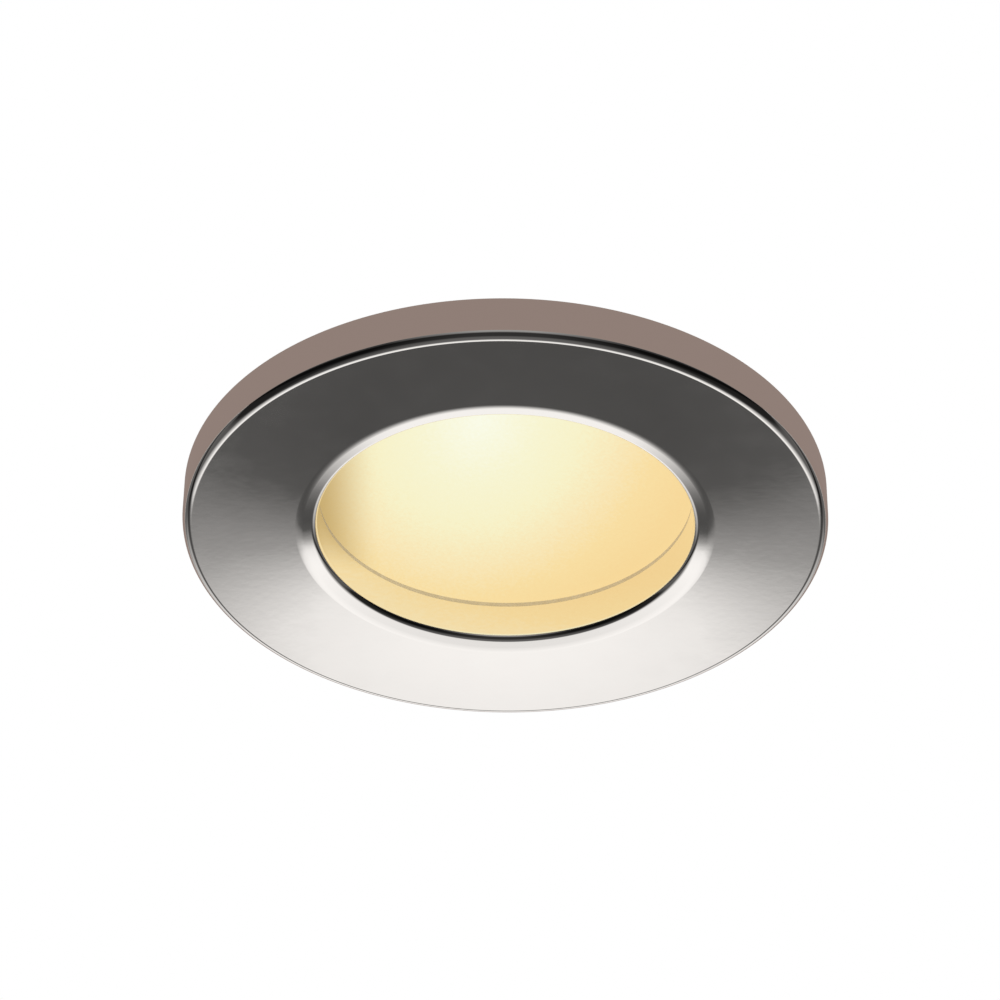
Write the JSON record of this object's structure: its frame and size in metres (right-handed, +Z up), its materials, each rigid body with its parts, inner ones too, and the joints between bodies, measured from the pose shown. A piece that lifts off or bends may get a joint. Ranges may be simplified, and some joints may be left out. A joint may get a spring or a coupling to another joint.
{
  "type": "soffit downlight",
  "caption": "Round recessed soffit downlight with a chrome bezel, frosted glass, finned can, cable gland and sprung ceiling clips.",
  "frame": {"origin": "centre of the ceiling cut-out, on the underside of the ceiling board where the ceiling gasket seals", "axes": "+Z up into the soffit along the lamp's axis, +X through the right-hand spring clip; the bezel hangs below Z = 0"},
  "size_m": [0.1298, 0.085, 0.1036],
  "materials": {
    "chrome": "polished chrome plate",
    "frosted_glass": "frosted, lit warm white",
    "white_silicone": "matt translucent silicone",
    "grey_foam": "closed-cell foam",
    "cast_aluminium": "die-cast, lightly blasted",
    "black_rubber": "matt rubber",
    "stainless": "bright stainless steel",
    "spring_steel": "drawn spring wire",
    "zinc_plate": "zinc-plated steel sheet",
    "tungsten": "drawn wire",
    "black_nylon": "moulded nylon",
    "brass": "bright machined brass",
    "lamp_mirror": "mirror-coated pressed glass",
    "clear_glass": "clear polished glass",
    "ceramic": "glazed steatite",
    "lead_sleeve": "braided glass-fibre sleeve",
    "tip_silicone": "matt silicone"
  },
  "bodies": {
    "root": {"ceiling_gasket": "grey_foam", "housing": "cast_aluminium", "rear_cover": "cast_aluminium", "cover_o_ring": "black_rubber", "cover_screws": "stainless", "gland_body": "black_nylon", "gland_seal_washer": "black_rubber", "gland_insert": "black_rubber", "gland_cap_nut": "black_nylon", "gland_lock_nut": "brass", "lamp_reflector": "lamp_mirror", "lamp_front_cover": "clear_glass", "lamp_capsule": "clear_glass", "lamp_filament": "tungsten", "lamp_base": "ceramic", "lamp_pins": "stainless", "lamp_retaining_ring": "spring_steel", "lampholder": "ceramic", "lampholder_contacts": "brass", "holder_screws": "stainless", "holder_plate": "zinc_plate", "plate_screws": "stainless", "terminal_block": "ceramic", "terminal_tubes": "brass", "terminal_screws": "stainless", "terminal_block_screw": "stainless", "holder_leads": "lead_sleeve", "bracket_screws": "stainless", "clip_bracket_left": "zinc_plate", "clip_pin_left": "stainless", "clip_spring_left": "spring_steel", "clip_bracket_right": "zinc_plate", "clip_pin_right": "stainless", "clip_spring_right": "spring_steel"},
    "lens": {"front_glass": "frosted_glass", "lens_gasket": "white_silicone"},
    "bezel": {"bezel": "chrome"},
    "left_clip": {"clip_arm_left": "zinc_plate", "clip_tip_left": "tip_silicone"},
    "right_clip": {"clip_arm_right": "zinc_plate", "clip_tip_right": "tip_silicone"}
  },
  "joints": [
    {"name": "bezel_travel", "type": "slide", "parent": "root", "child": "lens", "axis": [0, 0, -1], "range_m": [0, 0.0075]},
    {"name": "bezel_unscrew", "type": "hinge", "parent": "lens", "child": "bezel", "pos_m": [0, 0, 0], "axis": [0, 0, -1], "range_deg": [0, 1800]},
    {"name": "clip_left_fold", "type": "hinge", "parent": "root", "child": "left_clip", "pos_m": [-0.0324, 0, 0.024], "axis": [0, 1, 0], "range_deg": [0, 115], "stiffness_Nm_per_rad": 0.03, "springref_deg": -34.38, "deforming": ["clip_spring_left"]},
    {"name": "clip_right_fold", "type": "hinge", "parent": "root", "child": "right_clip", "pos_m": [0.0324, 0, 0.024], "axis": [0, -1, 0], "range_deg": [0, 115], "stiffness_Nm_per_rad": 0.03, "springref_deg": -34.38, "deforming": ["clip_spring_right"]}
  ],
  "couplings": [
    {"joint": "bezel_travel", "follows": "bezel_unscrew", "m_per_rad": 0.00023873}
  ]
}
